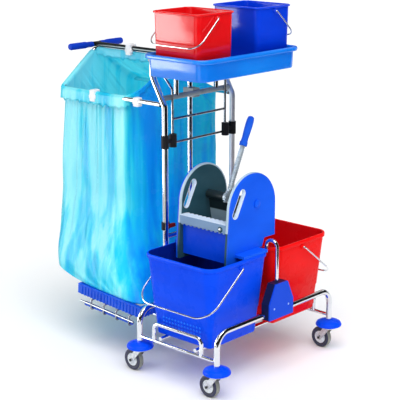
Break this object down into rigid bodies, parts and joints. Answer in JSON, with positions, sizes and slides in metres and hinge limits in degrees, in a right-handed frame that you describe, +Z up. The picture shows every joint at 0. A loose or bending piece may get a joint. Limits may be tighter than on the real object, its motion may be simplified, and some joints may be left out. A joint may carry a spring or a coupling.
{
  "type": "janitor cart",
  "caption": "Chrome tube cleaning trolley with mop buckets, lever wringer, top tray with small buckets, push handle and a waste bag on a rear frame, rolling on swivel casters.",
  "frame": {"origin": "on the floor under the middle of the whole cart", "axes": "+Z up, +Y from the mop buckets towards the push handle, +X across the cart from the blue mop bucket to the red one"},
  "size_m": [0.6919, 0.9269, 1.2153],
  "materials": {
    "fork_steel": "zinc plated",
    "hub_plastic": "satin",
    "tyre": "matte",
    "blue_plastic": "satin",
    "grip": "matte",
    "red_plastic": "satin",
    "chrome_tube": "chromed",
    "chrome_wire": "chromed",
    "grey_tube": "painted",
    "black_plastic": "matte",
    "white_plastic": "satin",
    "film": "thin translucent film",
    "grey_plastic": "satin",
    "light_plastic": "satin",
    "lever_metal": "satin"
  },
  "bodies": {
    "cart": {"caster_bumpers": "blue_plastic", "tray": "blue_plastic", "platform": "blue_plastic", "hook_bracket": "blue_plastic", "grip_left": "grip", "grip_right": "grip", "rail_front": "chrome_tube", "rail_rear": "chrome_tube", "end_rails": "chrome_tube", "end_guards": "chrome_tube", "mast_left": "chrome_tube", "mast_right": "chrome_tube", "mast_tie": "chrome_tube", "tray_posts": "chrome_tube", "handle_tube": "chrome_tube", "handle_bar": "chrome_tube", "bag_frame": "chrome_tube", "platform_arms": "chrome_tube", "bucket_runners": "chrome_wire", "wire_rack": "chrome_wire", "platform_wires": "chrome_wire", "hook_rod": "chrome_wire", "mast_crossbar": "grey_tube", "tray_beam": "grey_tube", "rack_clamps": "black_plastic", "tool_clip": "black_plastic", "handle_clamps": "black_plastic", "bag_clips": "white_plastic", "waste_bag": "film"},
    "caster_fl": {"caster_fork_fl": "fork_steel"},
    "wheel_fl": {"caster_hub_fl": "hub_plastic", "caster_tyre_fl": "tyre"},
    "caster_fr": {"caster_fork_fr": "fork_steel"},
    "wheel_fr": {"caster_hub_fr": "hub_plastic", "caster_tyre_fr": "tyre"},
    "caster_rl": {"caster_fork_rl": "fork_steel"},
    "wheel_rl": {"caster_hub_rl": "hub_plastic", "caster_tyre_rl": "tyre"},
    "caster_rr": {"caster_fork_rr": "fork_steel"},
    "wheel_rr": {"caster_hub_rr": "hub_plastic", "caster_tyre_rr": "tyre"},
    "blue_bucket": {"bucket_blue": "blue_plastic"},
    "blue_bail": {"bail_blue": "chrome_wire"},
    "wringer": {"wringer_cheek_front": "grey_plastic", "wringer_cheek_rear": "grey_plastic", "wringer_cover_front": "blue_plastic", "wringer_cover_rear": "blue_plastic", "wringer_panel": "blue_plastic", "wringer_fixed_jaw": "light_plastic"},
    "press": {"wringer_jaw": "light_plastic", "wringer_shaft": "chrome_wire", "wringer_lever": "lever_metal", "wringer_grip": "grip"},
    "red_bucket": {"bucket_red": "red_plastic"},
    "red_bail": {"bail_red": "chrome_wire"},
    "small_red": {"small_bucket_red": "red_plastic"},
    "small_red_bail": {"small_bail_red": "chrome_wire"},
    "small_blue": {"small_bucket_blue": "blue_plastic"},
    "small_blue_bail": {"small_bail_blue": "chrome_wire"}
  },
  "joints": [
    {"name": "swivel_fl", "type": "hinge", "parent": "cart", "child": "caster_fl", "pos_m": [-0.3, -0.4175, 0.096], "axis": [0, 0, 1], "continuous": true},
    {"name": "roll_fl", "type": "hinge", "parent": "caster_fl", "child": "wheel_fl", "pos_m": [-0.3, -0.3875, 0.038], "axis": [1, 0, 0], "continuous": true},
    {"name": "swivel_fr", "type": "hinge", "parent": "cart", "child": "caster_fr", "pos_m": [0.3, -0.4175, 0.096], "axis": [0, 0, 1], "continuous": true},
    {"name": "roll_fr", "type": "hinge", "parent": "caster_fr", "child": "wheel_fr", "pos_m": [0.3, -0.3875, 0.038], "axis": [1, 0, 0], "continuous": true},
    {"name": "swivel_rl", "type": "hinge", "parent": "cart", "child": "caster_rl", "pos_m": [-0.3, -0.0715, 0.096], "axis": [0, 0, 1], "continuous": true},
    {"name": "roll_rl", "type": "hinge", "parent": "caster_rl", "child": "wheel_rl", "pos_m": [-0.3, -0.0415, 0.038], "axis": [1, 0, 0], "continuous": true},
    {"name": "swivel_rr", "type": "hinge", "parent": "cart", "child": "caster_rr", "pos_m": [0.3, -0.0715, 0.096], "axis": [0, 0, 1], "continuous": true},
    {"name": "roll_rr", "type": "hinge", "parent": "caster_rr", "child": "wheel_rr", "pos_m": [0.3, -0.0415, 0.038], "axis": [1, 0, 0], "continuous": true},
    {"name": "blue_bucket_lift", "type": "slide", "parent": "cart", "child": "blue_bucket", "axis": [0, 0, 1], "range_m": [0, 0.095]},
    {"name": "blue_bail_swing", "type": "hinge", "parent": "blue_bucket", "child": "blue_bail", "pos_m": [-0.161, -0.248, 0.4063], "axis": [0, 1, 0], "range_deg": [0, 100]},
    {"name": "wringer_lift", "type": "slide", "parent": "blue_bucket", "child": "wringer", "axis": [0, 0, 1], "range_m": [0, 0.05]},
    {"name": "press_lever", "type": "hinge", "parent": "wringer", "child": "press", "pos_m": [-0.042, -0.248, 0.5903], "axis": [0, 1, 0], "range_deg": [0, 38], "stiffness_Nm_per_rad": 0.8, "springref_deg": -51.57},
    {"name": "red_bucket_lift", "type": "slide", "parent": "cart", "child": "red_bucket", "axis": [0, 0, 1], "range_m": [0, 0.032]},
    {"name": "red_bail_swing", "type": "hinge", "parent": "red_bucket", "child": "red_bail", "pos_m": [0.161, -0.248, 0.4063], "axis": [0, -1, 0], "range_deg": [0, 90]},
    {"name": "small_red_lift", "type": "slide", "parent": "cart", "child": "small_red", "axis": [0, 0, 1], "range_m": [0, 0.2]},
    {"name": "small_red_bail_swing", "type": "hinge", "parent": "small_red", "child": "small_red_bail", "pos_m": [-0.145, -0.1755, 1.1993], "axis": [0, 1, 0], "range_deg": [0, 120]},
    {"name": "small_blue_lift", "type": "slide", "parent": "cart", "child": "small_blue", "axis": [0, 0, 1], "range_m": [0, 0.2]},
    {"name": "small_blue_bail_swing", "type": "hinge", "parent": "small_blue", "child": "small_blue_bail", "pos_m": [0.145, -0.1755, 1.1993], "axis": [0, -1, 0], "range_deg": [0, 120]}
  ]
}
